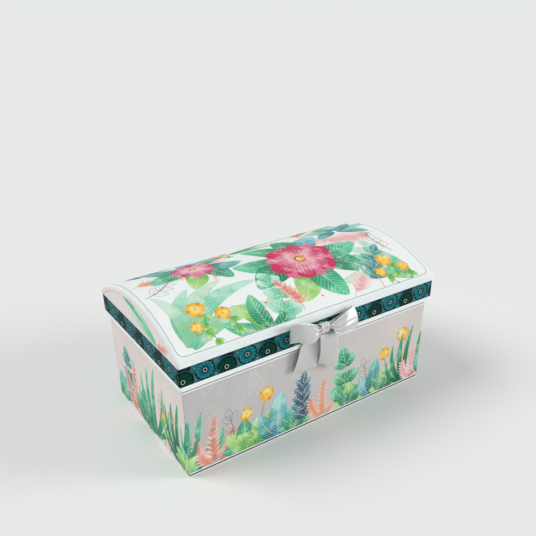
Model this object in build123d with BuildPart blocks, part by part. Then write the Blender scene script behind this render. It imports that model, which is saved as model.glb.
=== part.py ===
from build123d import *
import math
import os

# Paper-covered treasure-chest box, millimetres. +Z up, +Y to the back, the bow faces -Y.
# The origin is on the table, under the middle of the box.

# Outer sizes of the lid
lid_length = 260.0
lid_width = 152.0
rim_height = 87.5
skirt_height = 20.5
dome_rise = 22.0
dome_proud = 0.4
dome_edge_round = 2.0
corner_round = 1.0

# Sheet goods
paper = 0.25
base_board_thick = 2.0
lid_board_thick = 1.5
padding_thick = 3.0
floor_card_thick = 1.0
turn_in = 15.0
dome_turn_in = 12.0
lining_overlap = 3.0

# Fits between the lid and the base
side_clearance = 0.6
front_clearance = 1.6
back_gap = 0.8
closing_gap = 0.4
floor_card_gap = 0.5
bottom_sheet_inset = 2.0

# Paper hinge
hinge_strip_length = 236.0
hinge_leaf_height = 11.0

# Bow
ribbon_width = 20.0
ribbon_thick = 0.6
glue_thick = 0.6
glue_dot_radius = 3.2
glue_dot_top_gap = 1.8
knot_width = 9.0
knot_wall = 1.2
gather_height = 7.6
gather_depth = 3.4
gather_side_room = 0.5
gather_end_room = 1.0
loop_reach = 33.0
loop_bulge = 5.6
loop_gap = 0.8
loop_soft_bend = 14.0
loop_shoulder_bend = 6.0
loop_end_bend = 3.0
left_loop_tilt = 9.0
right_loop_tilt = 4.0
tail_root_width = 8.0
left_tail_drop = 40.0
left_tail_lean = 23.5
left_tail_slant = 6.0
right_tail_drop = 38.0
right_tail_lean = -5.0
right_tail_slant = 9.0
tail_bend = 3.0
left_tail_stand = 1.2
right_tail_stand = 8.4

# Worked out: lid walls, from the outside in
lid_wall = paper + lid_board_thick + paper
lid_inner_length = lid_length - 2 * lid_wall
lid_inner_width = lid_width - 2 * lid_wall
lid_boards_length = lid_length - 2 * paper
lid_boards_width = lid_width - 2 * paper
lid_cavity_length = lid_boards_length - 2 * lid_board_thick
lid_cavity_width = lid_boards_width - 2 * lid_board_thick
skirt_top = rim_height + skirt_height
panel_thick = paper + padding_thick + lid_board_thick + paper

# Worked out: dome arc through the two top edges and the crown
dome_half_length = lid_length / 2 + dome_proud
dome_half_width = lid_width / 2 + dome_proud
dome_shoulder = skirt_top + panel_thick
dome_radius = (dome_half_width**2 + dome_rise**2) / (2 * dome_rise)
dome_centre = dome_shoulder + dome_rise - dome_radius
under_radius = dome_radius - panel_thick

# Worked out: base, which sits off centre because the front clearance is wider
base_length = lid_inner_length - 2 * side_clearance
base_front = -lid_inner_width / 2 + front_clearance
base_back = lid_inner_width / 2 - back_gap
base_width = base_back - base_front
base_middle = (base_front + base_back) / 2
base_height = skirt_top - closing_gap
boards_length = base_length - 2 * paper
boards_width = base_width - 2 * paper
cavity_length = boards_length - 2 * base_board_thick
cavity_width = boards_width - 2 * base_board_thick
boards_bottom = 2 * paper
boards_top = base_height - paper
board_corner = corner_round - paper

# Worked out: bow, hung under the skirt's top edge and stacked outwards from the skirt
bow_height = skirt_top - glue_dot_top_gap - glue_dot_radius
skirt_front = -lid_width / 2
left_root_back = skirt_front - glue_thick
right_root_back = left_root_back - ribbon_thick
knot_back = right_root_back - ribbon_thick
knot_depth = gather_depth + 2 * gather_side_room + 2 * knot_wall
knot_height = gather_height + 2 * gather_end_room + 2 * knot_wall
knot_middle = knot_back - knot_depth / 2
loop_back_room = skirt_front - dome_proud - loop_gap - ribbon_thick / 2 - knot_middle

base_plane = Plane((0, base_middle, 0))


def wall_outline(outer_length, outer_width, thick, plane, round_outer=0):
    """A rectangular frame around the middle of the plane, one wall thick."""
    with BuildSketch(plane) as outline:
        if round_outer > 0:
            RectangleRounded(outer_length, outer_width, round_outer)
        else:
            Rectangle(outer_length, outer_width)
        Rectangle(outer_length - 2 * thick, outer_width - 2 * thick, mode=Mode.SUBTRACT)
    return outline.sketch


def arc_outline(outer_radius, thick, half_width, lowest):
    """The section of a strip that follows the dome's curve, across the box."""
    with BuildSketch(Plane.YZ) as outline:
        with Locations((0, dome_centre)):
            Circle(outer_radius)
        with Locations((0, lowest)):
            Rectangle(2 * half_width, 3 * dome_rise, align=(Align.CENTER, Align.MIN), mode=Mode.INTERSECT)
        with Locations((0, dome_centre)):
            Circle(outer_radius - thick, mode=Mode.SUBTRACT)
    return outline.sketch


def arched_outline(inner_x, radius, lowest, width):
    """An upright outline with the dome's curve for its top, facing +X."""
    with BuildSketch(Plane.YZ.offset(inner_x)) as outline:
        with Locations((0, dome_centre)):
            Circle(radius)
        with Locations((0, lowest)):
            Rectangle(width, 3 * dome_rise + skirt_height, align=(Align.CENTER, Align.MIN),
                      mode=Mode.INTERSECT)
    return outline.sketch


def dome_block(inset, round_edge):
    """The whole domed panel, drawn in from its outside by inset."""
    with BuildPart() as block:
        with BuildSketch(Plane.YZ):
            with Locations((0, dome_centre)):
                Circle(dome_radius - inset)
            with Locations((0, skirt_top + inset)):
                Rectangle(2 * (dome_half_width - inset), 3 * dome_rise,
                          align=(Align.CENTER, Align.MIN), mode=Mode.INTERSECT)
            with Locations((0, dome_centre)):
                Circle(under_radius + inset, mode=Mode.SUBTRACT)
        extrude(amount=dome_half_length - inset, both=True)
        crown = block.faces().sort_by(Axis.Z)[-1]
        fillet(crown.edges(), radius=round_edge)
    return block.part


# Base boards: front and back run the full length, the ends stand between them
board_height = boards_top - boards_bottom
with BuildPart() as base_front_board:
    with BuildSketch(Plane.XY.offset(boards_bottom)):
        with Locations((0, base_front + paper + base_board_thick / 2)):
            Rectangle(boards_length, base_board_thick)
    extrude(amount=board_height)
    fillet(base_front_board.edges().filter_by(Axis.Z).group_by(Axis.Y)[0], radius=board_corner)

with BuildPart() as base_back_board:
    with BuildSketch(Plane.XY.offset(boards_bottom)):
        with Locations((0, base_back - paper - base_board_thick / 2)):
            Rectangle(boards_length, base_board_thick)
    extrude(amount=board_height)
    fillet(base_back_board.edges().filter_by(Axis.Z).group_by(Axis.Y)[-1], radius=board_corner)

with BuildPart() as base_left_board:
    with BuildSketch(base_plane.offset(boards_bottom)):
        with Locations((-(boards_length - base_board_thick) / 2, 0)):
            Rectangle(base_board_thick, cavity_width)
    extrude(amount=board_height)

with BuildPart() as base_right_board:
    with BuildSketch(base_plane.offset(boards_bottom)):
        with Locations(((boards_length - base_board_thick) / 2, 0)):
            Rectangle(base_board_thick, cavity_width)
    extrude(amount=board_height)

with BuildPart() as base_bottom_board:
    with BuildSketch(base_plane.offset(boards_bottom)):
        Rectangle(cavity_length, cavity_width)
    extrude(amount=base_board_thick)

# Printed paper of the base: outside, over the top edge, turned in and turned under
with BuildPart() as base_wrap:
    extrude(wall_outline(base_length, base_width, paper, base_plane.offset(paper), corner_round),
            amount=base_height - paper)
    with BuildSketch(base_plane.offset(boards_top)):
        RectangleRounded(base_length, base_width, corner_round)
        Rectangle(cavity_length - 2 * paper, cavity_width - 2 * paper, mode=Mode.SUBTRACT)
    extrude(amount=paper)
    extrude(wall_outline(cavity_length, cavity_width, paper, base_plane.offset(base_height - turn_in)),
            amount=turn_in)
    with BuildSketch(base_plane.offset(paper)):
        RectangleRounded(base_length, base_width, corner_round)
        Rectangle(base_length - 2 * turn_in, base_width - 2 * turn_in, mode=Mode.SUBTRACT)
    extrude(amount=paper)

# Plain sheet under the bottom, which fills the field between the turn-ins
with BuildPart() as base_bottom_sheet:
    with BuildSketch(base_plane):
        Rectangle(base_length - 2 * bottom_sheet_inset, base_width - 2 * bottom_sheet_inset)
    extrude(amount=paper)
    with BuildSketch(base_plane.offset(paper)):
        Rectangle(base_length - 2 * turn_in, base_width - 2 * turn_in)
    extrude(amount=paper)

# Inner paper of the base walls, lapped over the turned-in edge
floor_top = boards_bottom + base_board_thick
turned_in_foot = base_height - turn_in
with BuildPart() as base_wall_lining:
    extrude(wall_outline(cavity_length, cavity_width, 2 * paper, base_plane.offset(floor_top)),
            amount=turned_in_foot - floor_top)
    extrude(wall_outline(cavity_length - 2 * paper, cavity_width - 2 * paper, paper,
                         base_plane.offset(turned_in_foot)), amount=lining_overlap)

# Covered card laid on the floor
with BuildPart() as base_floor_card:
    with BuildSketch(base_plane.offset(floor_top)):
        card_inset = 2 * paper + floor_card_gap
        Rectangle(cavity_length - 2 * card_inset, cavity_width - 2 * card_inset)
    extrude(amount=floor_card_thick)

# Lid skirt boards: front and back full length
rim_plane = Plane.XY.offset(rim_height)
lid_boards_bottom = rim_height + paper
lid_board_height = skirt_top - lid_boards_bottom
lid_front_middle = -(lid_boards_width - lid_board_thick) / 2
with BuildPart() as lid_front_board:
    with BuildSketch(Plane.XY.offset(lid_boards_bottom)):
        with Locations((0, lid_front_middle)):
            Rectangle(lid_boards_length, lid_board_thick)
    extrude(amount=lid_board_height)
    fillet(lid_front_board.edges().filter_by(Axis.Z).group_by(Axis.Y)[0], radius=board_corner)

with BuildPart() as lid_back_board:
    with BuildSketch(Plane.XY.offset(lid_boards_bottom)):
        with Locations((0, -lid_front_middle)):
            Rectangle(lid_boards_length, lid_board_thick)
    extrude(amount=lid_board_height)
    fillet(lid_back_board.edges().filter_by(Axis.Z).group_by(Axis.Y)[-1], radius=board_corner)

# Lid end boards, each cut in one piece with its arch
with BuildPart() as lid_right_end_board:
    extrude(arched_outline(lid_cavity_length / 2, under_radius, lid_boards_bottom, lid_cavity_width),
            amount=lid_board_thick)

with BuildPart() as lid_left_end_board:
    mirror(lid_right_end_board.part, about=Plane.YZ)

# Dome board, curved over the arches
board_under_radius = under_radius + paper
with BuildPart() as lid_dome_board:
    extrude(arc_outline(board_under_radius + lid_board_thick, lid_board_thick, dome_half_width - paper,
                        skirt_top + paper), amount=dome_half_length - paper, both=True)

# Wadding on the dome board
dome_core = dome_block(paper, dome_edge_round - paper)
with BuildPart() as lid_dome_padding:
    add(dome_core)
    add(lid_dome_board.part, mode=Mode.SUBTRACT)

# Printed paper of the dome, turned under all round
dome_outside = dome_block(0, dome_edge_round)
with BuildPart() as lid_dome_wrap:
    add(dome_outside)
    add(dome_core, mode=Mode.SUBTRACT)
    extrude(arc_outline(board_under_radius, paper, dome_half_width - dome_turn_in, skirt_top),
            amount=dome_half_length - dome_turn_in, both=True, mode=Mode.SUBTRACT)

# Paper of the skirt, turned under the rim and up inside
with BuildPart() as lid_skirt_wrap:
    extrude(wall_outline(lid_length, lid_width, paper, rim_plane, corner_round), amount=skirt_height)
    extrude(wall_outline(lid_length, lid_width, lid_wall, rim_plane, corner_round), amount=paper)
    extrude(wall_outline(lid_cavity_length, lid_cavity_width, paper, rim_plane), amount=turn_in)

# Papers on the two arches, above the skirt
with BuildPart() as lid_right_end_paper:
    extrude(arched_outline(lid_boards_length / 2, under_radius, skirt_top, lid_boards_width), amount=paper)

with BuildPart() as lid_left_end_paper:
    mirror(lid_right_end_paper.part, about=Plane.YZ)

# Inner papers of the lid
turned_in_top = rim_height + turn_in
with BuildPart() as lid_wall_lining:
    extrude(wall_outline(lid_cavity_length - 2 * paper, lid_cavity_width - 2 * paper, paper,
                         Plane.XY.offset(turned_in_top - lining_overlap)), amount=lining_overlap)
    extrude(wall_outline(lid_cavity_length, lid_cavity_width, 2 * paper, Plane.XY.offset(turned_in_top)),
            amount=skirt_top - turned_in_top)
    for inner_x in (lid_cavity_length / 2 - 2 * paper, -lid_cavity_length / 2):
        extrude(arched_outline(inner_x, under_radius - paper, skirt_top, lid_cavity_width), amount=2 * paper)

with BuildPart() as lid_dome_lining:
    extrude(arc_outline(under_radius, paper, lid_cavity_width / 2, skirt_top),
            amount=lid_cavity_length / 2 - 2 * paper, both=True)

# Paper hinge, split at its crease: one leaf on the base, one inside the lid
with BuildPart() as hinge_leaf_lower:
    with BuildSketch(rim_plane):
        with Locations((0, base_back + paper / 2)):
            Rectangle(hinge_strip_length, paper)
    extrude(amount=hinge_leaf_height)

with BuildPart() as hinge_leaf_upper:
    with BuildSketch(rim_plane):
        with Locations((0, lid_inner_width / 2 - paper / 2)):
            Rectangle(hinge_strip_length, paper)
    extrude(amount=hinge_leaf_height)

# Glue dot that holds the bow on the skirt
with BuildPart() as bow_glue_dot:
    with BuildSketch(Plane.XZ.offset(-skirt_front)):
        with Locations((0, bow_height)):
            Circle(glue_dot_radius)
    extrude(amount=glue_thick)


def ribbon_loop(side, tilt):
    """One loop of ribbon, open at its top and bottom edges and narrowed towards the knot."""
    outwards = Vector(side * math.cos(math.radians(tilt)), 0, math.sin(math.radians(tilt)))
    plan = Plane((0, knot_middle, bow_height), x_dir=outwards, z_dir=outwards.cross(Vector(0, 1, 0)))
    front_view = Plane((0, knot_middle, bow_height), x_dir=outwards, z_dir=(0, -1, 0))
    root = (gather_depth - ribbon_thick) / 2
    throat = knot_width * 0.6
    with BuildPart() as loop:
        with BuildSketch(plan):
            with BuildLine():
                FilletPolyline(
                    (0, root),
                    (throat, root),
                    (loop_reach * 0.36, loop_back_room * 0.9),
                    (loop_reach * 0.85, loop_back_room),
                    (loop_reach, 0),
                    (loop_reach * 0.85, -loop_bulge),
                    (loop_reach * 0.42, -loop_bulge * 0.92),
                    (throat, -root),
                    (0, -root),
                    radius=[loop_soft_bend, loop_soft_bend, loop_shoulder_bend, loop_end_bend,
                            loop_shoulder_bend, loop_soft_bend, loop_soft_bend],
                )
            trace(line_width=ribbon_thick)
        extrude(amount=ribbon_width / 2, both=True)
        with BuildSketch(front_view):
            Polygon(
                (0, -gather_height / 2),
                (throat, -gather_height / 2),
                (loop_reach * 0.6, -ribbon_width * 0.47),
                (loop_reach * 1.1, -ribbon_width / 2),
                (loop_reach * 1.1, ribbon_width / 2),
                (loop_reach * 0.6, ribbon_width * 0.47),
                (throat, gather_height / 2),
                (0, gather_height / 2),
                align=None,
            )
        extrude(amount=2 * knot_depth, both=True, mode=Mode.INTERSECT)
    return loop.part


# Two loops of one ribbon, gathered under the knot
left_loop = ribbon_loop(-1, left_loop_tilt)
right_loop = ribbon_loop(1, right_loop_tilt)
with BuildPart() as bow_loops:
    with BuildSketch(Plane.XY.offset(bow_height - gather_height / 2)):
        with Locations((0, knot_middle)):
            Rectangle(knot_width * 0.7, gather_depth)
    extrude(amount=gather_height)
    add(left_loop)
    add(right_loop)

# Short ribbon wrapped round the middle, with its bore cut clear of the gather
with BuildPart() as bow_knot:
    with BuildSketch(Plane.YZ.offset(-knot_width / 2)):
        with Locations((knot_middle, bow_height)):
            RectangleRounded(knot_depth, knot_height, knot_depth * 0.4)
            Rectangle(knot_depth - 2 * knot_wall, knot_height - 2 * knot_wall, mode=Mode.SUBTRACT)
    extrude(amount=knot_width)


def ribbon_tail(root_back, stand, drop, lean, slant):
    """A cut end of ribbon that leaves the knot, clears the rim and hangs in front of the base."""
    top = bow_height
    throat = top - knot_height / 2
    foot = top - drop
    across = Vector(math.cos(math.radians(lean)), 0, -math.sin(math.radians(lean)))
    leaning = Plane((0, root_back, top), x_dir=across, z_dir=(0, -1, 0))
    with BuildPart() as tail:
        with BuildSketch(Plane.YZ):
            with BuildLine():
                FilletPolyline(
                    (root_back - ribbon_thick / 2, top),
                    (root_back - ribbon_thick / 2, throat - 0.8 * tail_bend),
                    (root_back - ribbon_thick / 2 - stand, throat - 3.4 * tail_bend),
                    (root_back - ribbon_thick / 2 - stand * 0.85, foot - ribbon_width / 2),
                    radius=tail_bend,
                )
            trace(line_width=ribbon_thick)
        extrude(amount=2 * ribbon_width, both=True)
        with BuildSketch(leaning):
            Polygon(
                (-tail_root_width / 2, 0),
                (-tail_root_width / 2, -knot_height * 0.4),
                (-ribbon_width / 2, -drop * 0.38),
                (-ribbon_width / 2, -drop + slant / 2),
                (ribbon_width / 2, -drop - slant / 2),
                (ribbon_width / 2, -drop * 0.38),
                (tail_root_width / 2, -knot_height * 0.4),
                (tail_root_width / 2, 0),
                align=None,
            )
        extrude(amount=4 * ribbon_width, both=True, mode=Mode.INTERSECT)
    return tail


bow_tail_left = ribbon_tail(left_root_back, left_tail_stand, left_tail_drop, left_tail_lean,
                            -left_tail_slant)
bow_tail_right = ribbon_tail(right_root_back, right_tail_stand, right_tail_drop, right_tail_lean,
                             right_tail_slant)

nodes = {
    "base_bottom_board": base_bottom_board,
    "base_front_board": base_front_board,
    "base_back_board": base_back_board,
    "base_left_board": base_left_board,
    "base_right_board": base_right_board,
    "base_wrap": base_wrap,
    "base_bottom_sheet": base_bottom_sheet,
    "base_wall_lining": base_wall_lining,
    "base_floor_card": base_floor_card,
    "hinge_leaf_lower": hinge_leaf_lower,
    "hinge_leaf_upper": hinge_leaf_upper,
    "lid_front_board": lid_front_board,
    "lid_back_board": lid_back_board,
    "lid_left_end_board": lid_left_end_board,
    "lid_right_end_board": lid_right_end_board,
    "lid_dome_board": lid_dome_board,
    "lid_dome_padding": lid_dome_padding,
    "lid_dome_wrap": lid_dome_wrap,
    "lid_skirt_wrap": lid_skirt_wrap,
    "lid_left_end_paper": lid_left_end_paper,
    "lid_right_end_paper": lid_right_end_paper,
    "lid_wall_lining": lid_wall_lining,
    "lid_dome_lining": lid_dome_lining,
    "bow_glue_dot": bow_glue_dot,
    "bow_loops": bow_loops,
    "bow_knot": bow_knot,
    "bow_tail_left": bow_tail_left,
    "bow_tail_right": bow_tail_right,
}

os.makedirs("parts", exist_ok=True)
for node_name, node in nodes.items():
    node.part.label = node_name
    export_step(node.part, f"parts/{node_name}.step")
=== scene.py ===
import math
import random

import bpy
import numpy as np
from mathutils import Matrix, Vector


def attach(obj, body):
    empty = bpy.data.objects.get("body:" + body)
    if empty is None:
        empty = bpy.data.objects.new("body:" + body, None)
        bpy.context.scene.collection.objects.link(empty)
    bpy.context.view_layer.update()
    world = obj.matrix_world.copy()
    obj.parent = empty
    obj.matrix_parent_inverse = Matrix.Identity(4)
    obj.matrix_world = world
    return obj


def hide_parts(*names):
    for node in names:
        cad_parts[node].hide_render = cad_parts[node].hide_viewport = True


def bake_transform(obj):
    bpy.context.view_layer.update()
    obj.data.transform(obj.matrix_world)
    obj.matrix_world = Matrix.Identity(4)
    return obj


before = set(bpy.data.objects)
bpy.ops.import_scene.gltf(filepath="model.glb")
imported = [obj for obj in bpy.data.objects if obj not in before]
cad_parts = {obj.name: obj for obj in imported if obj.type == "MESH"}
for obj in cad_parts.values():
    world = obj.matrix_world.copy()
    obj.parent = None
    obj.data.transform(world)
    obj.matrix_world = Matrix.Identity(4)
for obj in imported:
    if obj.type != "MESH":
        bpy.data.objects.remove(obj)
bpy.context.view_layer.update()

scene = bpy.context.scene
mm = 0.001
print("frame loaded:", len(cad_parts), "nodes")


def addObject(name, data):
    thing = bpy.data.objects.new(name, data)
    scene.collection.objects.link(thing)
    return thing


# shader building: a wire is a value in a node tree, and reckoning with wires adds Math nodes
class Wire:
    def __init__(self, tree, socket):
        self.tree, self.socket = tree, socket

    def __add__(self, other):
        return addMath("ADD", self, other)

    def __sub__(self, other):
        return addMath("SUBTRACT", self, other)

    def __rsub__(self, other):
        return addMath("SUBTRACT", other, self)

    def __mul__(self, other):
        return addMath("MULTIPLY", self, other)

    def __truediv__(self, other):
        return addMath("DIVIDE", self, other)

    def __pow__(self, other):
        return addMath("POWER", self, other)

    def __abs__(self):
        return addMath("ABSOLUTE", self)

    def __gt__(self, other):
        return addMath("GREATER_THAN", self, other)

    def __lt__(self, other):
        return addMath("LESS_THAN", self, other)


def plug(sockets, values):
    # wires are linked, numbers and colours are set on the socket itself
    for name, value in values.items():
        if isinstance(value, Wire):
            value.tree.links.new(value.socket, sockets[name])
        else:
            sockets[name].default_value = (*value, 1) if isinstance(value, tuple) else value


def addNode(tree, kind, values, output=0, **settings):
    node = tree.nodes.new("ShaderNode" + kind)
    for name, value in settings.items():
        setattr(node, name, value)
    plug(node.inputs, values)
    return Wire(tree, node.outputs[output])


def addMath(operation, *values):
    tree = next(value.tree for value in values if isinstance(value, Wire))
    return addNode(tree, "Math", dict(enumerate(values)), operation=operation)


def larger(first, second):
    return addMath("MAXIMUM", first, second)


def smaller(first, second):
    return addMath("MINIMUM", first, second)


def addMix(share, under, over, blend="MIX"):
    return addNode(share.tree, "Mix", {"Factor": share, 6: under, 7: over}, 2, data_type="RGBA", blend_type=blend)


def addStep(value, low, high):
    # 0 below low, 1 above high, soft between
    return addNode(value.tree, "MapRange", {"Value": value, "From Min": low, "From Max": high}, "Result",
                   interpolation_type="SMOOTHSTEP")


def addFade(value, low, high):
    # 1 below low, 0 above high
    return 1.0 - addStep(value, low, high)


def addNoise(spot, scale, detail=3.0, roughness=0.5):
    return addNode(spot.tree, "TexNoise",
                   {"Vector": spot, "Scale": scale, "Detail": detail, "Roughness": roughness}, "Fac")


def addBump(height, strength, distance):
    return addNode(height.tree, "Bump", {"Strength": strength, "Distance": distance, "Height": height})


def addAttribute(tree, name, output="Vector"):
    return addNode(tree, "Attribute", {}, output, attribute_name=name)


def splitVector(vector):
    node = addNode(vector.tree, "SeparateXYZ", {0: vector}).socket.node
    return [Wire(vector.tree, output) for output in node.outputs]


def newFinish(name):
    finish = bpy.data.materials.new(name)
    finish.use_nodes = True
    return finish, finish.node_tree, finish.node_tree.nodes["Principled BSDF"].inputs


def newPrint(name):
    # a finish for a paper, with its place on the flat sheet in millimetres
    finish, tree, shader = newFinish(name)
    spot = addAttribute(tree, "sheetPlace")
    return finish, shader, spot, *splitVector(spot)[:2]


def shade(red, green, blue):
    # a colour as it is on a screen, 0 to 255
    return tuple(c / 255 / 12.92 if c < 11 else ((c / 255 + 0.055) / 1.055) ** 2.4 for c in (red, green, blue))


# camera, floor and lights
view = {"place": (-0.28334, -0.43219, 0.36238), "target": (-0.00197, 0.0, 0.07779),
        "roll": -1.064, "lens": 42.45, "shiftY": 0.0896}


def placeCamera():
    place = Vector(view["place"])
    ahead = (Vector(view["target"]) - place).normalized()
    side = ahead.cross(Vector((0, 0, 1))).normalized()
    top = side.cross(ahead)
    roll = math.radians(view["roll"])
    right = side * math.cos(roll) + top * math.sin(roll)
    up = top * math.cos(roll) - side * math.sin(roll)
    lens = bpy.data.cameras.new("boxCamera")
    lens.sensor_width = 36
    lens.lens = view["lens"]
    lens.shift_y = view["shiftY"]
    lens.clip_start = 0.01
    camera = addObject("boxCamera", lens)
    camera.matrix_world = Matrix((
        (right.x, up.x, -ahead.x, place.x),
        (right.y, up.y, -ahead.y, place.y),
        (right.z, up.z, -ahead.z, place.z),
        (0, 0, 0, 1)))
    scene.camera = camera


placeCamera()
scene.view_settings.view_transform = "Standard"

studio = {"sky": 0.46, "skyColour": (0.96, 0.98, 1.0), "backdrop": (0.803, 0.815, 0.820),
          "floorColour": (0.89, 0.895, 0.89), "floorRoughness": 0.8, "floorHalf": 40.0,
          "key": {"from": (-0.55, 0.35, 0.75), "strength": 1.38, "angle": 32},
          "fill": {"from": (0.82, -0.52, 0.24), "strength": 1.7, "angle": 24}}


def showWhite(shader, output):
    # the camera, reflections and clear things see the backdrop's own colour, whatever lights the box
    tree = shader.tree
    path = tree.nodes.new("ShaderNodeLightPath").outputs
    camera, glossy, clear = [Wire(tree, path[name]) for name in
                             ("Is Camera Ray", "Is Glossy Ray", "Is Transmission Ray")]
    white = addNode(tree, "Background", {"Color": studio["backdrop"]})
    seen = larger(larger(camera, glossy), clear)
    plug(output, {0: addNode(tree, "MixShader", {0: seen, 1: shader, 2: white})})


def buildStudio():
    world = bpy.data.worlds.new("studioWorld")
    scene.world = world
    world.use_nodes = True
    nodes = world.node_tree.nodes
    plug(nodes["Background"].inputs, {"Color": studio["skyColour"], "Strength": studio["sky"]})
    showWhite(Wire(world.node_tree, nodes["Background"].outputs[0]), nodes["World Output"].inputs)
    half = studio["floorHalf"]
    mesh = bpy.data.meshes.new("floor")
    mesh.from_pydata([(-half, -half, 0), (half, -half, 0), (half, half, 0), (-half, half, 0)], [], [(0, 1, 2, 3)])
    floorPaint, _, shader = newFinish("floorPaint")
    plug(shader, {"Base Color": studio["floorColour"], "Roughness": studio["floorRoughness"],
                  "Specular IOR Level": 0})
    mesh.materials.append(floorPaint)
    addObject("floor", mesh)
    for name in ("key", "fill"):
        facts = studio[name]
        lamp = bpy.data.lights.new(name + "Light", "SUN")
        lamp.energy = facts["strength"]
        lamp.angle = math.radians(facts["angle"])
        aim = (-Vector(facts["from"])).to_track_quat("-Z", "Y")
        addObject(name + "Light", lamp).rotation_euler = aim.to_euler()


buildStudio()
print("camera, floor and lights stand")


# meshes, in millimetres
def makeMesh(name, points, faces, places=None):
    # places are the corners' points on the flat paper
    mesh = bpy.data.meshes.new(name)
    mesh.from_pydata((np.asarray(points) * mm).tolist(), [], np.asarray(faces).tolist())
    if places is not None:
        layer = mesh.attributes.new("sheetPlace", "FLOAT_VECTOR", "CORNER")
        flat = np.zeros((len(mesh.loops), 3), np.float32)
        flat[:, :2] = np.asarray(places).reshape(-1, 2)
        layer.data.foreach_set("vector", flat.ravel())
    mesh.shade_smooth()
    return addObject(name, mesh)


def gridFaces(rows, columns, closed=False):
    # the squares of a grid of points; a closed one joins its last column to its first
    across = columns if closed else columns - 1
    row, column = [a.ravel() for a in np.meshgrid(np.arange(rows - 1), np.arange(across), indexing="ij")]
    after = (column + 1) % columns
    faces = np.stack([row * columns + column, row * columns + after,
                      (row + 1) * columns + after, (row + 1) * columns + column], 1)
    return row, column, faces


def ringFaces(inner, outer):
    return np.stack([inner, outer, np.roll(outer, -1), np.roll(inner, -1)], 1)


def makeSheet(name, grid, places, closed=False):
    # a sheet from rows of points, and its faces' corners on the flat paper
    row, column, faces = gridFaces(*grid.shape[:2], closed)
    corners = np.stack([places[row, column], places[row, column + 1],
                        places[row + 1, column + 1], places[row + 1, column]], 1)
    return makeMesh(name, grid.reshape(-1, 3), faces, corners), corners


def thicken(piece, thick, offset=-1.0):
    solid = piece.modifiers.new("thickness", "SOLIDIFY")
    solid.thickness = thick * mm
    solid.offset = offset
    solid.use_even_offset = True


def settle(piece, body, node):
    # the piece moves with its body and stands for a node of the frame
    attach(piece, body)
    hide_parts(node)
    return piece


def spaced(start, end, step):
    return np.linspace(start, end, max(2, round(abs(end - start) / step) + 1))


def lengthAlong(points):
    return np.concatenate([[0], np.cumsum(np.linalg.norm(np.diff(points, axis=0), axis=1))])


def aroundBox(facts, middleY, inset):
    # one turn round the box from the back's middle, seen from above to the left, front, right and back
    halfLength, halfWidth = facts["halfLength"], facts["halfWidth"]
    length, width, bend = halfLength - inset, halfWidth - inset, max(facts["cornerRound"] - inset, 0.05)
    turn = []
    for sideX, sideY, start in ((-1, 1, 90), (-1, -1, 180), (1, -1, 270), (1, 1, 0)):
        for angle in np.radians(start + 22.5 * np.arange(5)):
            turn.append((sideX * (length - bend) + bend * math.cos(angle),
                         sideY * (width - bend) + bend * math.sin(angle)))
    line = [(0.0, width)]
    plain = {0: halfLength, 5: 2 * halfWidth, 10: 2 * halfLength, 15: 2 * halfWidth, 20: halfLength}
    for k, point in enumerate(turn + [(0.0, width)]):
        before = line[-1]
        parts = max(1, round(plain[k] / facts["cell"])) if k in plain else 1
        for share in np.arange(1, parts + 1) / parts:
            line.append((before[0] + (point[0] - before[0]) * share, before[1] + (point[1] - before[1]) * share))
    return np.array(line[:-1]) + (0, middleY)


def wrapSheet(name, facts, middleY, profile):
    # a paper wrapped round a box: profile is a list of (inset, height, distance along the paper)
    rows = []
    for inset, height, _ in profile:
        turn = aroundBox(facts, middleY, inset)
        rows.append(np.column_stack([turn, np.full(len(turn), height)]))
    outer = aroundBox(facts, middleY, 0)
    gone = lengthAlong(np.vstack([outer, outer[:1]]))
    places = np.stack(np.meshgrid(gone, [along for _, _, along in profile]), 2)
    return makeSheet(name, np.array(rows), places, closed=True)


# ink: every face of a printed paper keeps the few motifs that cross it, and the shader draws them sharp
inkLayers = 6
inkFields = ("Place", "Shape", "Kind", "Form", "Tint", "Tip")
inkColours = ("Tint", "Tip")

# the two colours that a motif's wash runs between
inks = {
    "emerald": ((0, 150, 100), (104, 218, 172)), "forest": ((0, 116, 82), (58, 188, 138)),
    "lime": ((104, 186, 78), (196, 234, 140)), "mint": ((104, 208, 170), (210, 244, 228)),
    "sage": ((148, 214, 172), (226, 246, 228)), "teal": ((16, 128, 130), (108, 206, 194)),
    "turquoise": ((36, 152, 172), (160, 228, 224)), "navy": ((16, 54, 98), (70, 140, 172)),
    "pink": ((214, 52, 108), (252, 192, 208)), "blush": ((232, 126, 158), (252, 226, 232)),
    "salmon": ((228, 138, 122), (252, 208, 192)), "peach": ((238, 168, 134), (253, 222, 200)),
    "rosewash": ((242, 186, 186), (254, 232, 228)), "yellow": ((246, 188, 36), (254, 232, 120)),
    "orange": ((234, 150, 44), (252, 204, 92)), "russet": ((160, 48, 48), (220, 116, 92)),
    "stalk": ((92, 130, 66), (150, 172, 96)), "line": ((118, 124, 114), (150, 152, 140)),
    "ghost": ((240, 238, 234), (246, 244, 240)), "heart": ((250, 226, 120), (240, 180, 60))}


def addLeaf(bed, u, v, angle, length, halfWidth, ink, bend=0.0, veins=0.0, power=0.85, roundness=0.8,
            strength=1.0, outline=0.0):
    # outline above 0 draws only the rim and midrib, that wide; veins below 0 run lengthwise
    tint, tip = inks[ink]
    bed.append((u, v, math.radians(angle), length, halfWidth, bend, 0.0, outline, strength,
                power, roundness, veins, *shade(*tint), *shade(*tip)))


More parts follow.
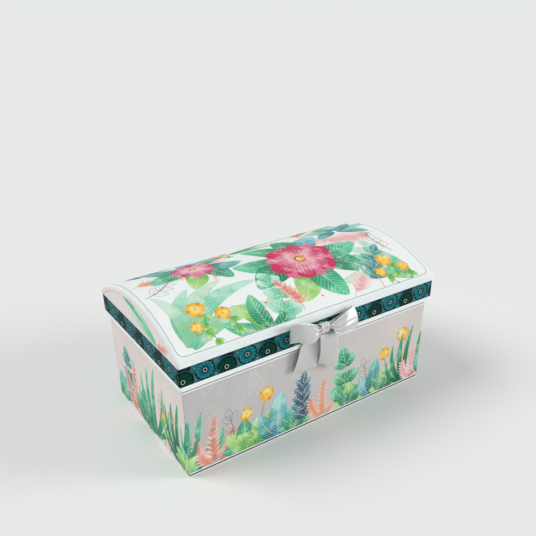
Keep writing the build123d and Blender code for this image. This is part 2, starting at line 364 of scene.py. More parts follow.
def leafDepth(motif, u, v):
    # how deep inside the motif a point lies, in millimetres
    ox, oy, angle, length, halfWidth, bend, _, _, _, power, roundness = motif[:11]
    dx, dy = u - ox, v - oy
    s = (dx * math.cos(angle) + dy * math.sin(angle)) / length
    side = np.abs(dy * math.cos(angle) - dx * math.sin(angle) - bend * 4 * s * (1 - s))
    h = np.clip(s, 1e-4, 1 - 1e-4) ** power
    width = halfWidth * (4 * h * (1 - h)) ** roundness
    return np.minimum(width - side, np.minimum(s, 1 - s) * length)


def inkPaper(piece, corners, motifs):
    # corners are each face's four points on the flat paper
    share = np.array([0.02, 0.34, 0.66, 0.98])
    a, b = [g.ravel()[None, :, None] for g in np.meshgrid(share, share)]
    spots = (corners[:, None, 0] * (1 - a) * (1 - b) + corners[:, None, 1] * a * (1 - b)
             + corners[:, None, 2] * a * b + corners[:, None, 3] * (1 - a) * b)
    middle = corners.mean(1)
    size = np.linalg.norm(corners - middle[:, None], axis=2).max(1)
    held = [[] for _ in corners]
    lost = 0
    for number, motif in enumerate(motifs):
        reach = motif[3] + motif[4] + abs(motif[5])
        near = np.nonzero(np.hypot(middle[:, 0] - motif[0], middle[:, 1] - motif[1]) < reach + size)[0]
        depth = leafDepth(motif, spots[near, :, 0], spots[near, :, 1])
        crossed = depth.max(1) > -0.25 * size[near] - 0.15
        filled = (depth.min(1) > 0.5) & (motif[7] == 0) & (motif[8] >= 1)
        for face, full in zip(near[crossed], filled[crossed]):
            # a motif that fills the face hides what lies under it
            held[face] = [number] if full else held[face] + [number]
            if len(held[face]) > inkLayers:
                held[face].pop(0)
                lost += 1
    # the last row is a motif that draws nothing
    table = np.array(motifs + [(0, 0, 0, 1) + (0,) * 14], np.float32)
    picks = np.full((len(corners), inkLayers), len(motifs))
    for face, numbers in enumerate(held):
        picks[face, :len(numbers)] = numbers
    for layer in range(inkLayers):
        row = table[picks[:, layer]]
        for field, name in enumerate(inkFields):
            kind, channel, width = ("COLOR", "color", 4) if name in inkColours else ("VECTOR", "vector", 3)
            values = np.ones((len(row), width), np.float32)
            values[:, :3] = row[:, field * 3:field * 3 + 3]
            data = piece.data.attributes.new(f"ink{name}{layer}", "FLOAT_" + kind, "FACE")
            data.data.foreach_set(channel, values.ravel())
    print(piece.name, "carries", len(motifs), "motifs,", lost, "crowded out")


# how strongly each part of a motif shows, and the pale colours in it
leafLook = {"edge": 0.10, "run": 1.1, "pool": 0.34, "poolColour": (0.93, 0.97, 0.93), "rim": 0.42, "rimWide": 0.9,
            "ribbed": 0.30, "vein": 0.50, "veinColour": (0.80, 0.93, 0.76), "stripe": 0.42, "midrib": 0.62,
            "midribColour": (0.86, 0.95, 0.80), "speck": 0.5, "speckColour": (0.75, 0.84, 0.76)}


def buildLeafInk():
    # one motif laid over the colour under it
    group = bpy.data.node_groups.new("leafInk", "ShaderNodeTree")
    for kind, names in (("Vector", ("Spot", "Place", "Shape", "Kind", "Form")), ("Color", ("Tint", "Tip", "Under")),
                        ("Float", ("Wash", "Grain"))):
        for name in names:
            group.interface.new_socket(name, in_out="INPUT", socket_type="NodeSocket" + kind)
    group.interface.new_socket("Colour", in_out="OUTPUT", socket_type="NodeSocketColor")
    given = {socket.name: Wire(group, socket) for socket in group.nodes.new("NodeGroupInput").outputs}
    tint, wash = given["Tint"], given["Wash"]
    u, v, _ = splitVector(given["Spot"])
    ox, oy, angle = splitVector(given["Place"])
    length, halfWidth, bend = splitVector(given["Shape"])
    _, thin, strength = splitVector(given["Kind"])
    power, roundness, veins = splitVector(given["Form"])
    # the point's place in the motif: s along its bent midrib, away from it to the side
    dx, dy = u - ox, v - oy
    cosine, sine = addMath("COSINE", angle), addMath("SINE", angle)
    along = dx * cosine + dy * sine
    s = along / length
    side = dy * cosine - dx * sine - s * (1.0 - s) * (bend * 4.0)
    away = abs(side)
    h = smaller(larger(s, 0.0001), 0.9999) ** power
    width = halfWidth * (h * (1.0 - h) * 4.0) ** roundness
    plain = smaller(width - away, smaller(s, 1.0 - s) * length)
    outwards = away / larger(width, 0.01)
    line = larger(thin - abs(plain), smaller(thin * 0.7 - away, plain))
    depth = plain + (thin > 0.01) * (line - plain)
    cover = addStep(depth, -leafLook["edge"], leafLook["edge"]) * strength
    # watercolour: a run from tint to tip, pale pools, darker rims
    tone = addStep(s + (wash - 0.5) * leafLook["run"], 0.1, 0.95)
    colour = addMix(tone, tint, given["Tip"])
    colour = addMix(addStep(wash, 0.48, 0.72) * leafLook["pool"], colour, leafLook["poolColour"])
    colour = addMix(addFade(depth, 0.0, leafLook["rimWide"]) * leafLook["rim"], colour, tint, "MULTIPLY")
    # side veins, lengthwise stripes and the midrib
    isSide, isLong = veins > 0.01, veins < -0.01
    pitch = larger(abs(veins), 0.4)
    across = addMath("FRACT", (along - away * 0.95) / pitch)
    sideVein = addFade(abs(across - 0.5) * pitch, 0.08, 0.42)
    stripe = addMath("FRACT", side / larger(width, 0.3) * pitch + 0.5)
    stripe = addFade(abs(stripe - 0.5), 0.05, 0.42)
    notEnd = addStep(1.0 - outwards, 0.05, 0.3)
    colour = addMix(isSide * (across * leafLook["ribbed"]) * notEnd, colour, tint, "MULTIPLY")
    colour = addMix(sideVein * isSide * notEnd * leafLook["vein"], colour, leafLook["veinColour"])
    colour = addMix(stripe * isLong * leafLook["stripe"], colour, tint, "MULTIPLY")
    colour = addMix(addFade(away, 0.10, 0.42) * (isSide * leafLook["midrib"]), colour, leafLook["midribColour"])
    colour = addMix(abs((given["Grain"] - 0.5) * leafLook["speck"]), colour, leafLook["speckColour"])
    plug(group.nodes.new("NodeGroupOutput").inputs, {"Colour": addMix(cover, given["Under"], colour)})
    return group


leafInk = buildLeafInk()


def addInk(spot, colour):
    # all layers of the print over the ground colour
    wash, grain = addNoise(spot, 0.085, 2.5, 0.55), addNoise(spot, 0.9, 2.0, 0.6)
    for layer in range(inkLayers):
        values = {name: addAttribute(spot.tree, f"ink{name}{layer}", "Color" if name in inkColours else "Vector")
                  for name in inkFields}
        values.update({"Spot": spot, "Wash": wash, "Grain": grain, "Under": colour})
        colour = addNode(spot.tree, "Group", values, node_tree=leafInk)
    return colour


# the domed lid panel: padded paper over wadding
dome = {"halfLength": 130.4, "halfWidth": 76.4, "radius": 143.66, "centre": -8.66, "under": 138.66,
        "bottom": 108.0, "edgeRound": 2.4, "edgeDrop": 2.7, "cornerRound": 1.2, "paper": 0.25,
        "cell": 2.0, "padCell": 6.0, "boardThick": 1.75, "turnUnder": 3.2, "edgeStretch": 0.4}


def arcHeight(radius, y):
    return dome["centre"] + np.sqrt(np.maximum(radius ** 2 - y ** 2, 0))


def edgeGraded(half, step):
    near = half - np.array([0, 0.6, 1.2, 2.0, 3.0, 4.4])
    inner = spaced(-near[-1], near[-1], step)
    return np.concatenate([-near[:-1], inner, near[:-1][::-1]])


def panelSkin(inset, underRadius, bottom, step):
    # top grid, then rings round its edge: outwards, down the side and turned under
    half = np.array([dome["halfLength"] - inset, dome["halfWidth"] - inset])
    edge, drop, turn = dome["edgeRound"], dome["edgeDrop"], dome["cornerRound"]
    x, y = np.meshgrid(edgeGraded(half[0] - edge, step), edgeGraded(half[1] - edge, step))
    plan = np.stack([x, y], 2).reshape(-1, 2)
    number = np.arange(x.size).reshape(x.shape)
    loop = np.concatenate([number[0], number[1:, -1], number[-1, -2::-1], number[-2:0:-1, 0]])
    square = plan[loop]
    core = half - edge - turn

    def ring(outwards, corner=16):
        # a higher corner number makes a sharper corner
        middle = np.clip(square, -core, core)
        away = np.abs(square - middle)
        reach = (away ** corner).sum(1, keepdims=True) ** (1 / corner)
        return middle + (square - middle) / reach * (turn + outwards)

    plan[loop] = ring(0, 4)
    topRadius = dome["radius"] - inset
    layers = [(plan, arcHeight(topRadius, plan[:, 1]))]
    for angle in np.radians([15, 30, 45, 60, 75, 90]):
        outwards = edge * math.sin(angle)
        at = ring(outwards, 4 + 12 * outwards / edge)
        layers.append((at, arcHeight(topRadius, at[:, 1]) - drop * (1 - math.cos(angle))))
    for outwards, share in ((edge, 0.3), (edge, 0.07), (edge - 0.25, 0.0), (edge - dome["turnUnder"], 0.0)):
        at = ring(outwards)
        low = np.maximum(bottom, arcHeight(underRadius, at[:, 1]))
        top = arcHeight(topRadius, at[:, 1]) - drop
        layers.append((at, low + (top - low) * share))
    points = np.concatenate([np.column_stack([at, height]) for at, height in layers])
    faces = [gridFaces(*x.shape)[2]]
    inner = loop
    for k in range(len(layers) - 1):
        outer = x.size + k * len(loop) + np.arange(len(loop))
        faces.append(ringFaces(inner, outer))
        inner = outer
    # on the flat paper the edge's rows lie further out
    arc = dome["radius"] * np.arcsin(np.clip(points[:, 1] / dome["radius"], -1, 1))
    flat = np.column_stack([points[:, 0], arc])
    row = np.repeat(np.arange(len(layers)), [len(at) for at, _ in layers])
    flat += np.sign(flat) * row[:, None] * dome["edgeStretch"] * (np.abs(flat) > half - 4)
    return points, np.concatenate(faces), flat, inner


def buildDome():
    points, faces, flat, _ = panelSkin(0, dome["under"], dome["bottom"], dome["cell"])
    paper = makeMesh("domePaper", points, faces, flat[faces])
    thicken(paper, dome["paper"])
    return settle(paper, "lid", "lid_dome_wrap"), flat[faces]


def buildWadding():
    under, bottom = dome["under"] + dome["boardThick"], dome["bottom"] + dome["paper"]
    points, faces, _, last = panelSkin(dome["paper"] + 0.02, under, bottom, dome["padCell"])
    # the underside lies on the board, in rows towards the middle
    rim, rows, strips = points[last], [points], [faces]
    for k, share in enumerate(np.linspace(0.9, 0.0, 10)):
        at = rim[:, :2] * (1, share)
        rows.append(np.column_stack([at, np.maximum(bottom, arcHeight(under, at[:, 1]))]))
        outer = len(points) + k * len(rim) + np.arange(len(rim))
        strips.append(ringFaces(last, outer))
        last = outer
    pad = makeMesh("domeWadding", np.concatenate(rows), np.concatenate(strips))
    settle(pad, "lid", "lid_dome_padding")
    return pad


domePaper, domeFlat = buildDome()
domeWadding = buildWadding()
print("dome paper and wadding laid")


# papers of the skirt, the base and the arches
skirt = {"halfLength": 130.0, "halfWidth": 76.0, "rim": 87.5, "top": 108.0, "wall": 2.0, "turnIn": 15.0,
         "cornerRound": 1.0, "cell": 3.0, "paper": 0.25}
base = {"halfLength": 127.4, "halfWidth": 72.8, "middleY": 0.4, "top": 107.6, "wall": 2.5, "turnIn": 15.0,
        "turnUnder": 15.0, "foot": 0.25, "cornerRound": 1.0, "cell": 2.0, "paper": 0.25, "printTop": 72.0}
arch = {"face": 130.0, "halfWidth": 74.8, "bottom": 108.0, "paper": 0.25, "columns": 61, "rows": 10}


def buildSkirt():
    rim, wall = skirt["rim"], skirt["wall"]
    profile = [(0, z, z) for z in spaced(skirt["top"], rim + 0.35, 2.0)]
    profile += [(0.1, rim + 0.1, rim + 0.1), (0.35, rim, rim - 0.2), (wall - 0.35, rim, rim - 1.5),
                (wall - 0.1, rim + 0.1, rim - 1.8)]
    profile += [(wall, z, 2 * rim - wall - z) for z in spaced(rim + 0.35, rim + skirt["turnIn"], 4.0)]
    paper, _ = wrapSheet("skirtPaper", skirt, 0, profile[::-1])
    thicken(paper, skirt["paper"])
    return settle(paper, "lid", "lid_skirt_wrap")


def buildBase():
    top, wall, foot = base["top"], base["wall"], base["foot"]
    profile = [(inset, foot, -inset) for inset in (base["turnUnder"], 8.0, 2.0, 0.4)]
    profile += [(0.1, foot + 0.12, 0.0)]
    profile += [(0, z, z) for z in spaced(foot + 0.45, base["printTop"], base["cell"])]
    profile += [(0, z, z) for z in spaced(base["printTop"], top - 0.4, 4.0)[1:]]
    profile += [(0.12, top - 0.1, top), (0.4, top, top + 0.3), (wall - 0.4, top, top + 2.0),
                (wall - 0.12, top - 0.1, top + 2.3)]
    profile += [(wall, z, 2 * top + wall - z) for z in spaced(top - 0.4, top - base["turnIn"], 4.0)]
    paper, flat = wrapSheet("basePaper", base, base["middleY"], profile)
    thicken(paper, base["paper"])
    return settle(paper, "base", "base_wrap"), flat


def buildArch(name, node, side):
    columns = np.linspace(-arch["halfWidth"], arch["halfWidth"], arch["columns"])
    rows = np.linspace(0, 1, arch["rows"])[:, None]
    height = arch["bottom"] + rows * (arcHeight(dome["under"], columns) - arch["bottom"])[None, :]
    grid = np.stack([np.full_like(height, side * arch["face"]), np.broadcast_to(columns, height.shape), height], 2)
    places = np.stack([side * grid[:, :, 1], grid[:, :, 2] - arch["bottom"]], 2)
    paper, flat = makeSheet(name, grid[:, ::side], places[:, ::side])
    thicken(paper, arch["paper"])
    return settle(paper, "lid", node), flat


skirtPaper = buildSkirt()
basePaper, baseFlat = buildBase()
leftArch, leftArchFlat = buildArch("leftArchPaper", "lid_left_end_paper", -1)
rightArch, rightArchFlat = buildArch("rightArchPaper", "lid_right_end_paper", 1)
print("papers wrapped")


# the paper hinge, one strip over the crease
hinge = {"halfLength": 118.0, "crease": 87.5, "leaf": 11.0, "lowerY": 73.33, "upperY": 73.87, "paper": 0.2}


def buildHinge():
    xs = spaced(-hinge["halfLength"], hinge["halfLength"], 8.0)
    low, high, crease = hinge["lowerY"], hinge["upperY"], hinge["crease"]
    middle, half = (low + high) / 2, (high - low) / 2
    leaf = spaced(crease + hinge["leaf"], crease, 2.2)
    line = [(low, z) for z in leaf]
    line += [(middle - half * math.cos(a), crease - half * math.sin(a)) for a in np.radians([30, 60, 90, 120, 150])]
    line += [(high, z) for z in spaced(crease, crease + hinge["leaf"], 2.2)]
    grid = np.array([[(x, y, z) for x in xs] for y, z in line])
    strip, _ = makeSheet("hingeStrip", grid, np.stack(np.meshgrid(xs, lengthAlong(np.array(line))), 2))
    thicken(strip, hinge["paper"], 0.0)
    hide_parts("hinge_leaf_lower", "hinge_leaf_upper")
    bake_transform(strip)
    return strip


hingeStrip = buildHinge()
print("hinge strip creased")


# the satin bow: every ribbon runs between its two edges, given from the knot outwards
bow = {"height": 103.4, "middleY": -81.8, "thick": 0.35, "width": 20.0}
leftLoop = {"side": -1, "pleat": 1.1, "phase": -0.6, "bulge": 0.9, "swell": 0.6, "wave": 0.0,
            "upper": [(0.6, -83.2, 105.4), (5.2, -83.9, 106.0), (10.9, -85.0, 109.5), (16.6, -86.6, 113.8),
                      (24.2, -87.2, 116.9), (29.8, -85.8, 118.6), (32.6, -83.3, 117.8), (31.2, -81.2, 116.4),
                      (24.0, -80.4, 114.2), (14.0, -79.8, 110.6), (7.0, -79.8, 107.0), (0.6, -80.4, 105.2)],
            "lower": [(0.6, -83.2, 101.4), (5.6, -83.9, 101.0), (9.8, -84.6, 96.2), (15.6, -85.4, 95.4),
                      (22.9, -85.0, 97.3), (29.6, -82.6, 99.8), (32.8, -80.2, 98.2), (31.6, -78.6, 97.2),
                      (23.5, -78.4, 95.8), (14.0, -78.6, 95.6), (7.5, -79.2, 99.8), (0.6, -80.4, 101.4)]}
rightLoop = {"side": 1, "pleat": 1.0, "phase": 0.6, "bulge": 1.1, "swell": 2.0, "wave": 0.0,
             "upper": [(0.6, -83.2, 105.4), (4.6, -83.2, 105.6), (9.2, -82.4, 106.5), (14.4, -82.0, 108.3),
                       (21.8, -81.7, 111.1), (30.0, -80.2, 112.8), (30.9, -79.7, 113.0), (29.4, -79.2, 112.6),
                       (21.0, -80.0, 110.2), (13.0, -80.3, 107.4), (7.0, -80.6, 105.9), (0.6, -80.4, 105.2)],
             "lower": [(0.6, -83.2, 101.6), (4.6, -84.6, 102.4), (7.8, -86.8, 98.8), (11.2, -88.4, 96.0),
                       (19.4, -88.6, 96.2), (30.6, -86.2, 95.4), (33.2, -83.2, 94.8), (32.2, -80.8, 94.6),
                       (22.0, -79.0, 94.6), (13.0, -79.2, 96.0), (7.0, -79.8, 100.0), (0.6, -80.4, 101.6)]}
leftTail = {"side": 1, "pleat": 0.4, "phase": 0.8, "bulge": -0.3, "swell": 0.0, "wave": 0.35,
            "upper": [(-3.0, -77.1, 103.5), (-6.0, -77.3, 99.5), (-13.0, -77.5, 95.5), (-20.2, -77.7, 90.5),
                      (-23.2, -77.0, 79.7), (-26.9, -75.8, 65.5)],
            "lower": [(2.4, -77.1, 103.0), (1.6, -77.6, 98.5), (0.2, -78.2, 95.0), (-1.6, -78.4, 90.8),
                      (-2.3, -77.3, 79.2), (-3.4, -75.7, 63.4)]}
rightTail = {"side": 1, "pleat": 0.4, "phase": 2.0, "bulge": 0.5, "swell": 0.0, "wave": 0.3,
             "upper": [(-3.6, -78.0, 102.5), (-4.2, -78.6, 98.8), (-4.9, -80.8, 97.4), (-4.9, -82.6, 95.1),
                       (-4.0, -82.2, 87.8), (-2.5, -79.6, 75.7), (-2.0, -77.2, 66.9)],
             "lower": [(3.2, -78.0, 102.5), (5.0, -78.6, 98.8), (8.4, -80.8, 97.2), (11.9, -82.4, 93.9),
                       (15.2, -81.8, 85.8), (17.6, -79.2, 70.7), (17.8, -76.8, 56.0)]}


def smoothLine(points, count):
    # a soft line through the points, by Catmull-Rom pieces
    ends = np.vstack([2 * points[0] - points[1], points, 2 * points[-1] - points[-2]])
    at = np.linspace(0, len(points) - 1, count)
    piece = np.minimum(at.astype(int), len(points) - 2)
    t = (at - piece)[:, None]
    a, b, c, d = ends[piece], ends[piece + 1], ends[piece + 2], ends[piece + 3]
    line = 0.5 * (2 * b + (c - a) * t + (2 * a - 5 * b + 4 * c - d) * t ** 2 + (3 * b - a - 3 * c + d) * t ** 3)
    gone = lengthAlong(line)
    even = np.linspace(0, gone[-1], count)
    return np.stack([np.interp(even, gone, column) for column in line.T], 1)


def buildRibbon(name, node, facts, held):
    line = smoothLine(np.hstack([facts["upper"], facts["lower"]]) * ([facts["side"], 1, 1] * 2), 120)
    upper, lower = line[:, None, :3], line[:, None, 3:]
    b = np.linspace(-1, 1, 33)[None, :, None]
    grid = (upper + lower) / 2 + (upper - lower) / 2 * b
    middle = (upper + lower)[:, 0] / 2
    gone = lengthAlong(middle)
    share = (gone / gone[-1])[:, None]
    b, wide = b[:, :, 0], np.linalg.norm(upper - lower, axis=2)
    # a loop's second half lies behind, so its pleats and bulge go the other way
    front = np.where((share > 0.5) & (held == "gathered"), -1.0, 1.0)
    gathered = np.clip(1 - (wide - 4) / 15, 0, 1)
    pleats = (np.cos(b * 9.5 + facts["phase"]) + 0.35 * np.cos(b * 15.0 + 1.1)) * gathered * facts["pleat"]
    grid[:, :, 1] += front * (pleats - facts["bulge"] * (1 - b ** 2) * (1 - gathered))
    grid[:, :, 1] += facts["wave"] * np.sin(share * 5.2 + b * 1.4) * share
    out = np.abs(middle[:, :1])
    grid[:, :, 0] += facts["side"] * facts["swell"] * (1 - b ** 2) * np.clip((out - 22) / 9, 0, 1)
    places = np.stack(np.broadcast_arrays(b * bow["width"] / 2, gone[:, None]), 2)
    ribbon, _ = makeSheet(name, grid, places)
    thicken(ribbon, bow["thick"], 0.0)
    settle(ribbon, "lid", node)
    return ribbon


knot = {"halfWidth": 4.4, "halfHeight": 4.6, "halfDepth": 2.9, "thick": 0.6, "turns": 49, "strip": 10, "around": 28}


def buildKnot():
    # a short ribbon, folded lengthwise, that goes once round the gather
    angle = np.linspace(0, 2 * math.pi, knot["turns"])[None, :-1]
    b = np.linspace(-1, 1, 21)[:, None]
    crease = 0.35 * np.cos(b * 8.5 + 0.5) + 0.2 * np.cos(b * 14)
    swell = 1 - 0.10 * b ** 2
    cosine, sine = np.cos(angle), np.sin(angle)
    deep = (knot["halfDepth"] * swell + crease * 0.6) * np.sign(cosine) * np.abs(cosine) ** 0.7
    high = (knot["halfHeight"] * swell + crease * 0.3) * np.sign(sine) * np.abs(sine) ** 0.8
    wide = b * (knot["halfWidth"] - 0.5 * cosine ** 2) - 0.6
    grid = np.stack(np.broadcast_arrays(wide, bow["middleY"] - deep, bow["height"] + high), 2)
    gone = np.linspace(0, knot["around"], knot["turns"])[None, :]
    places = np.stack(np.broadcast_arrays(b * knot["strip"] / 2, gone), 2)
    tie, _ = makeSheet("bowKnot", grid, places, closed=True)
    thicken(tie, knot["thick"], 1.0)
    settle(tie, "lid", "bow_knot")
    return tie


bowParts = [buildRibbon("bowLeftLoop", "bow_loops", leftLoop, "gathered"),
            buildRibbon("bowRightLoop", "bow_loops", rightLoop, "gathered"), buildKnot(),
            buildRibbon("bowLeftTail", "bow_tail_left", leftTail, "hung"),
            buildRibbon("bowRightTail", "bow_tail_right", rightTail, "hung")]
print("bow tied")


# the prints: garden plants in watercolour, laid out on the flat papers in millimetres
def pointAt(u, v, angle, reach):
    a = math.radians(angle)
    return u + reach * math.cos(a), v + reach * math.sin(a)


def addStalk(bed, u, v, angle, length, halfWidth, ink, bend):
    addLeaf(bed, u, v, angle, length, halfWidth, ink, bend=bend, power=1.0, roundness=0.12)


def addSprig(bed, u, v, angle, length, pairs, leafLength, leafWidth, ink, bend=0.0, spread=46, first=0.22,
             stalk="stalk", **leaf):
    # pairs of leaves up a bent stalk, smaller towards its end, and one at the end
    addStalk(bed, u, v, angle, length, 0.38, stalk, bend)
    turn = math.radians(angle)
    for k in range(pairs):
        s = first + (0.92 - first) * k / max(pairs - 1, 1)
        along, off = s * length, bend * 4 * s * (1 - s)
        x = u + along * math.cos(turn) - off * math.sin(turn)
        y = v + along * math.sin(turn) + off * math.cos(turn)
        slope = angle + math.degrees(math.atan2(bend * 4 * (1 - 2 * s), length))
        size = 1.08 - 0.38 * s
        for side in (-1, 1):
            addLeaf(bed, x, y, slope + side * spread, leafLength * size, leafWidth * size, ink,
                    bend=-side * leafLength * 0.07, **leaf)
    slope = angle + math.degrees(math.atan2(-bend * 4, length))
    addLeaf(bed, *pointAt(u, v, angle, length), slope, leafLength * 0.8, leafWidth * 0.7, ink, **leaf)


def addFeather(bed, u, v, angle, length, reach, ink, bend=0.0, pairs=9):
    addSprig(bed, u, v, angle, length, pairs, reach, 1.05 + reach * 0.045, ink, bend=bend, spread=40,
             first=0.12, stalk=ink, roundness=0.6)


def addDot(bed, u, v, radius, ink):
    addLeaf(bed, u - radius, v, 0, 2 * radius, radius, ink, power=1.0, roundness=0.5)


def addBlossom(bed, u, v, radius, petals, turn, ink, behind, plump=0.31):
    # two whorls of petals, deepest at their tips, round a heart that is freckled on a large blossom
    large = radius > 12
    for name, size, extra, slim in ((behind, 0.97, 180 / petals, 0.8), (ink, 1.0, 0, 1.0)):
        for k in range(petals):
            angle = turn + extra + 360 * k / petals
            length = radius * size * (0.94 + 0.06 * math.cos(k * 2.3))
            addLeaf(bed, *pointAt(u, v, angle, length), angle + 180, length, length * plump * slim, name,
                    bend=length * 0.05 * (-1) ** k, veins=-2.6 if large else 0.0, power=0.70, roundness=0.62)
    addDot(bed, u, v, radius * 0.16, "russet" if large else "orange")
    addDot(bed, u, v, radius * 0.11, "heart")
    for k in range(12 if large else 0):
        addDot(bed, *pointAt(u, v, 30 * k + 9, radius * (0.25 + 0.03 * (k % 2))), radius * 0.028, "heart")


def addLeaves(bed, u, v, start, veins, leaves):
    # leaves spread from one point, each starting a little way out
    for angle, length, half, ink, bend in leaves:
        addLeaf(bed, *pointAt(u, v, angle, start), angle, length, half, ink, bend=bend, veins=veins, power=0.82,
                roundness=0.62 if veins < 0 else 0.72)


def domeGarden():
    bed = []
    # long pale blades and washed feathers lie furthest back
    addFeather(bed, -2, 72, -128, 84, 27, "rosewash", bend=-8, pairs=12)
    addFeather(bed, 124, -2, 166, 78, 25, "rosewash", bend=8, pairs=12)
    addFeather(bed, -124, 16, -8, 50, 15, "peach", bend=6, pairs=9)
    addFeather(bed, 40, 74, -64, 46, 13, "salmon", bend=6, pairs=8)
    addLeaves(bed, -116, -74, 3, -3.0, (
        (12, 84, 7.0, "sage", 10), (30, 96, 8.0, "mint", 15), (47, 84, 7.5, "sage", 12), (66, 66, 6.5, "mint", 8),
        (92, 62, 6.0, "sage", -7)))
    addLeaves(bed, 112, -76, 3, -3.0, (
        (168, 76, 6.5, "sage", -9), (150, 92, 7.5, "mint", -13), (128, 74, 7.0, "sage", -9),
        (104, 66, 6.0, "mint", 7)))
    addLeaves(bed, 122, 74, 3, -3.0, ((192, 86, 6.5, "mint", 9), (212, 74, 6.5, "sage", 9), (236, 58, 6.0, "mint", -6)))
    addLeaves(bed, -122, 72, 3, -3.0, ((-10, 78, 6.5, "sage", -9), (-30, 66, 6.5, "mint", -8)))
    addLeaves(bed, -22, 40, 2, -2.6, (
        (8, 66, 4.4, "turquoise", 5), (24, 54, 4.2, "teal", -4), (-12, 56, 4.0, "lime", 5),
        (168, 40, 4.2, "turquoise", 4)))
    # broad leaves round the two blossoms
    addLeaves(bed, 24, -14, 13, 4.2, (
        (166, 50, 13, "emerald", 4), (202, 50, 13.5, "forest", -4), (240, 46, 12.5, "lime", 4),
        (282, 46, 13.5, "emerald", -3), (322, 50, 13, "forest", 4), (2, 50, 13, "emerald", -4),
        (44, 46, 12, "turquoise", 3), (84, 42, 12, "forest", -3), (126, 46, 12, "emerald", -4)))
    addLeaves(bed, -64, 24, 8, 3.4, (
        (146, 38, 9.5, "teal", 3), (196, 38, 10, "emerald", -3), (246, 34, 9.5, "lime", 3),
        (300, 34, 9, "forest", 3), (344, 36, 9.5, "teal", -3), (34, 34, 9.5, "emerald", 3),
        (90, 30, 9, "turquoise", -3)))
    addLeaves(bed, 92, 22, 2, 2.8, (
        (-38, 32, 6.6, "teal", 2), (-2, 36, 7.0, "turquoise", 2), (34, 34, 6.8, "teal", -2),
        (70, 30, 6.4, "turquoise", -2), (106, 26, 6.0, "teal", 2), (150, 30, 6.4, "turquoise", 2),
        (204, 28, 6.2, "teal", -2)))
    addFeather(bed, 40, -76, 26, 58, 15, "rosewash", bend=5, pairs=9)
    addLeaves(bed, -46, -80, 2, 3.6, (
        (152, 40, 7.0, "emerald", 3), (122, 38, 8.0, "lime", -3), (90, 38, 8.0, "emerald", 3),
        (36, 36, 6.5, "emerald", -4)))
    # sprigs
    addSprig(bed, -34, -76, 74, 46, 3, 18, 8.0, "mint", bend=-5, spread=58, roundness=0.55, veins=4.0)
    addSprig(bed, 74, -76, 66, 46, 4, 17, 5.6, "teal", bend=5, veins=2.6)
    addSprig(bed, -10, -72, 100, 34, 6, 10, 2.2, "salmon", bend=-3, stalk="salmon")
    addSprig(bed, 60, 40, 40, 34, 5, 11, 2.6, "russet", bend=4, stalk="salmon")
    addSprig(bed, -118, 44, 22, 38, 4, 15, 4.6, "navy", bend=3, veins=2.4)
    addSprig(bed, -122, -8, 34, 36, 4, 13, 3.6, "line", bend=-3, outline=0.17, stalk="line")
    addSprig(bed, 112, -40, 96, 34, 4, 12, 3.6, "line", bend=3, outline=0.17, stalk="line")
    # the blossoms and their small yellow company
    addBlossom(bed, 24, -14, 34, 6, 12, "pink", "blush")
    addBlossom(bed, -64, 24, 21, 5, 40, "blush", "pink")
    for u, v, radius, turn in ((-94, -38, 9, 8), (-76, -50, 7.5, 30), (-102, -56, 6, 50), (94, -48, 8.5, 20),
                               (107, -61, 6.5, 4), (81, -60, 6, 44), (-24, 52, 6.5, 15), (88, 56, 7.5, 30)):
        addSprig(bed, u + 3, v - 4, 250 + turn, 14, 2, 9, 2.6, "lime", bend=1)
        addBlossom(bed, u, v, radius, 5, turn, "yellow", "orange", plump=0.36)
    for k in range(14):
        addDot(bed, -46 + 4.2 * k + 5 * math.sin(k * 2.1), -52 + 7 * math.cos(k * 1.7) - 0.4 * k,
               1.1 + 0.4 * math.sin(k), "salmon" if k % 3 else "yellow")
    return bed


# wall plants, each from its foot and at any size
def addTuft(bed, u, v, size, ink):
    for angle, length, half, bend in ((58, 44, 2.4, -6), (72, 54, 3.1, -4), (84, 62, 2.9, 3), (95, 56, 3.2, 4),
                                      (108, 50, 2.7, 6), (124, 38, 2.3, 6)):
        addLeaf(bed, u + (90 - angle) * 0.09 * size, v, angle, length * size, half * size, ink,
                bend=bend * size, veins=-2.4, power=0.72, roundness=0.6)


def addRosette(bed, u, v, size, ink, other):
    for angle, length, half, name in ((160, 24, 6.4, other), (20, 24, 6.6, other), (128, 29, 7.8, ink),
                                      (52, 30, 8.0, ink), (92, 32, 8.8, other), (110, 20, 6.6, ink),
                                      (70, 21, 6.6, ink)):
        addLeaf(bed, u, v, angle, length * size, half * size, name, bend=(90 - angle) * 0.03, veins=3.0,
                power=0.8, roundness=0.66)


def addFeathers(bed, u, v, size, ink):
    for angle, length, bend in ((122, 32, 4), (58, 30, -4), (90, 44, 2)):
        addFeather(bed, u, v, angle, length * size, 11 * size, ink, bend=bend * size, pairs=8)


def addDaisies(bed, u, v, size):
    for lean, tall, radius in ((104, 36, 6.0), (78, 47, 7.2), (60, 28, 5.0)):
        x, y = pointAt(0, 0, lean, tall * size)
        addStalk(bed, u, v, lean, tall * size, 0.36, "stalk", 1.5)
        addLeaf(bed, u + 0.3 * x, v + 0.3 * y, lean + 40, 13 * size, 2.8 * size, "lime", veins=2.2)
        addLeaf(bed, u + 0.5 * x, v + 0.5 * y, lean - 42, 12 * size, 2.6 * size, "mint", veins=2.2)
        addBlossom(bed, u + x, v + y, radius * size, 5, 18 + 40 * lean, "yellow", "orange", plump=0.36)


def addWideLeaves(bed, u, v, size, ink, other):
    for angle, length, half, name, bend in ((122, 34, 7.8, other, 3), (54, 38, 8.4, ink, -3),
                                            (86, 46, 9.0, ink, 2), (28, 30, 6.8, other, -3)):
        addLeaf(bed, u, v, angle, length * size, half * size, name, bend=bend, veins=3.4, power=0.86,
                roundness=0.7)


